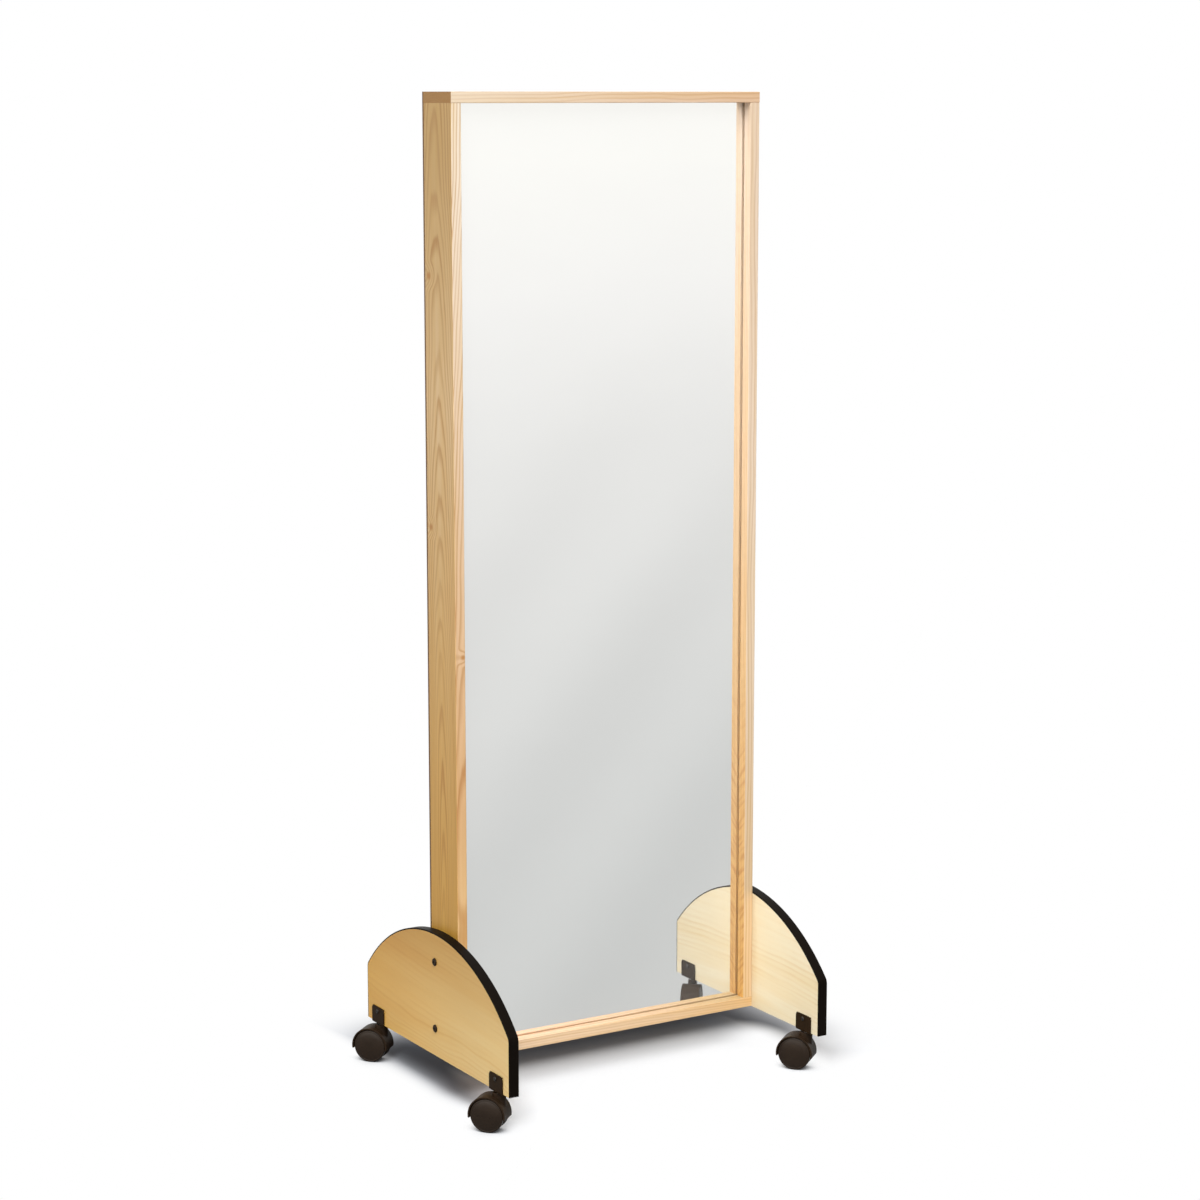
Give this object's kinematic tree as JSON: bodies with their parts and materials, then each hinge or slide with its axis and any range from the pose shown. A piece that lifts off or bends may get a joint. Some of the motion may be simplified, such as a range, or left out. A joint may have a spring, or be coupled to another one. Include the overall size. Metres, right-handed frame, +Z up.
{
  "type": "rolling floor mirror",
  "caption": "Tall framed floor mirror between two arched end panels with black edging, standing on hooded twin-wheel swivel casters.",
  "frame": {"origin": "on the floor, under the middle of the frame and of the two end panels, with the casters' stems at equal distances around it", "axes": "+X to the right across the mirror, +Y from the mirror's face to its back, +Z up"},
  "size_m": [0.7123, 0.54, 1.758],
  "materials": {
    "frame_wood": "clear satin varnish on pale wood, with soft grain and a few knots",
    "panel_laminate": "smooth satin laminate with a maple pattern",
    "edge_band": "black moulded edging with a fine texture",
    "mirror_glass": "polished silvered glass",
    "hardboard": "smooth brown hardboard",
    "zinc_steel": "bright zinc plating",
    "black_steel": "black powder coat",
    "dark_steel": "black oxide",
    "caster_plastic": "black moulded plastic",
    "wheel_plastic": "smooth black nylon"
  },
  "bodies": {
    "root": {"left_stile": "frame_wood", "right_stile": "frame_wood", "top_rail": "frame_wood", "bottom_rail": "frame_wood", "frame_screws": "zinc_steel", "mirror_glass": "mirror_glass", "backing_board": "hardboard", "rear_panel": "hardboard", "rear_panel_screws": "zinc_steel", "left_end_panel": "panel_laminate", "right_end_panel": "panel_laminate", "left_edge_band": "edge_band", "right_edge_band": "edge_band", "panel_bolts": "black_steel", "panel_washers": "zinc_steel", "panel_nuts": "zinc_steel", "front_left_bracket": "black_steel", "front_right_bracket": "black_steel", "rear_left_bracket": "black_steel", "rear_right_bracket": "black_steel", "bracket_screws": "dark_steel", "front_left_stem": "zinc_steel", "front_right_stem": "zinc_steel", "rear_left_stem": "zinc_steel", "rear_right_stem": "zinc_steel", "grip_rings": "zinc_steel"},
    "front_left_caster": {"front_left_hood": "caster_plastic", "front_left_axle": "zinc_steel"},
    "front_left_wheel_a": {"front_left_wheel_a": "wheel_plastic"},
    "front_left_wheel_b": {"front_left_wheel_b": "wheel_plastic"},
    "front_right_caster": {"front_right_hood": "caster_plastic", "front_right_axle": "zinc_steel"},
    "front_right_wheel_a": {"front_right_wheel_a": "wheel_plastic"},
    "front_right_wheel_b": {"front_right_wheel_b": "wheel_plastic"},
    "rear_left_caster": {"rear_left_hood": "caster_plastic", "rear_left_axle": "zinc_steel"},
    "rear_left_wheel_a": {"rear_left_wheel_a": "wheel_plastic"},
    "rear_left_wheel_b": {"rear_left_wheel_b": "wheel_plastic"},
    "rear_right_caster": {"rear_right_hood": "caster_plastic", "rear_right_axle": "zinc_steel"},
    "rear_right_wheel_a": {"rear_right_wheel_a": "wheel_plastic"},
    "rear_right_wheel_b": {"rear_right_wheel_b": "wheel_plastic"}
  },
  "joints": [
    {"name": "front_left_swivel", "type": "hinge", "parent": "root", "child": "front_left_caster", "pos_m": [-0.3205, -0.2205, 0.0692], "axis": [0, 0, 1], "continuous": true},
    {"name": "front_left_wheel_a_spin", "type": "hinge", "parent": "front_left_caster", "child": "front_left_wheel_a", "pos_m": [-0.33464, -0.20365, 0.03], "axis": [-0.766, -0.6428, 0], "continuous": true},
    {"name": "front_left_wheel_b_spin", "type": "hinge", "parent": "front_left_caster", "child": "front_left_wheel_b", "pos_m": [-0.33464, -0.20365, 0.03], "axis": [-0.766, -0.6428, 0], "continuous": true},
    {"name": "front_right_swivel", "type": "hinge", "parent": "root", "child": "front_right_caster", "pos_m": [0.3205, -0.2205, 0.0692], "axis": [0, 0, 1], "continuous": true},
    {"name": "front_right_wheel_a_spin", "type": "hinge", "parent": "front_right_caster", "child": "front_right_wheel_a", "pos_m": [0.30636, -0.20365, 0.03], "axis": [-0.766, -0.6428, 0], "continuous": true},
    {"name": "front_right_wheel_b_spin", "type": "hinge", "parent": "front_right_caster", "child": "front_right_wheel_b", "pos_m": [0.30636, -0.20365, 0.03], "axis": [-0.766, -0.6428, 0], "continuous": true},
    {"name": "rear_left_swivel", "type": "hinge", "parent": "root", "child": "rear_left_caster", "pos_m": [-0.3205, 0.2205, 0.0692], "axis": [0, 0, 1], "continuous": true},
    {"name": "rear_left_wheel_a_spin", "type": "hinge", "parent": "rear_left_caster", "child": "rear_left_wheel_a", "pos_m": [-0.33464, 0.23735, 0.03], "axis": [-0.766, -0.6428, 0], "continuous": true},
    {"name": "rear_left_wheel_b_spin", "type": "hinge", "parent": "rear_left_caster", "child": "rear_left_wheel_b", "pos_m": [-0.33464, 0.23735, 0.03], "axis": [-0.766, -0.6428, 0], "continuous": true},
    {"name": "rear_right_swivel", "type": "hinge", "parent": "root", "child": "rear_right_caster", "pos_m": [0.3205, 0.2205, 0.0692], "axis": [0, 0, 1], "continuous": true},
    {"name": "rear_right_wheel_a_spin", "type": "hinge", "parent": "rear_right_caster", "child": "rear_right_wheel_a", "pos_m": [0.30636, 0.23735, 0.03], "axis": [-0.766, -0.6428, 0], "continuous": true},
    {"name": "rear_right_wheel_b_spin", "type": "hinge", "parent": "rear_right_caster", "child": "rear_right_wheel_b", "pos_m": [0.30636, 0.23735, 0.03], "axis": [-0.766, -0.6428, 0], "continuous": true}
  ]
}
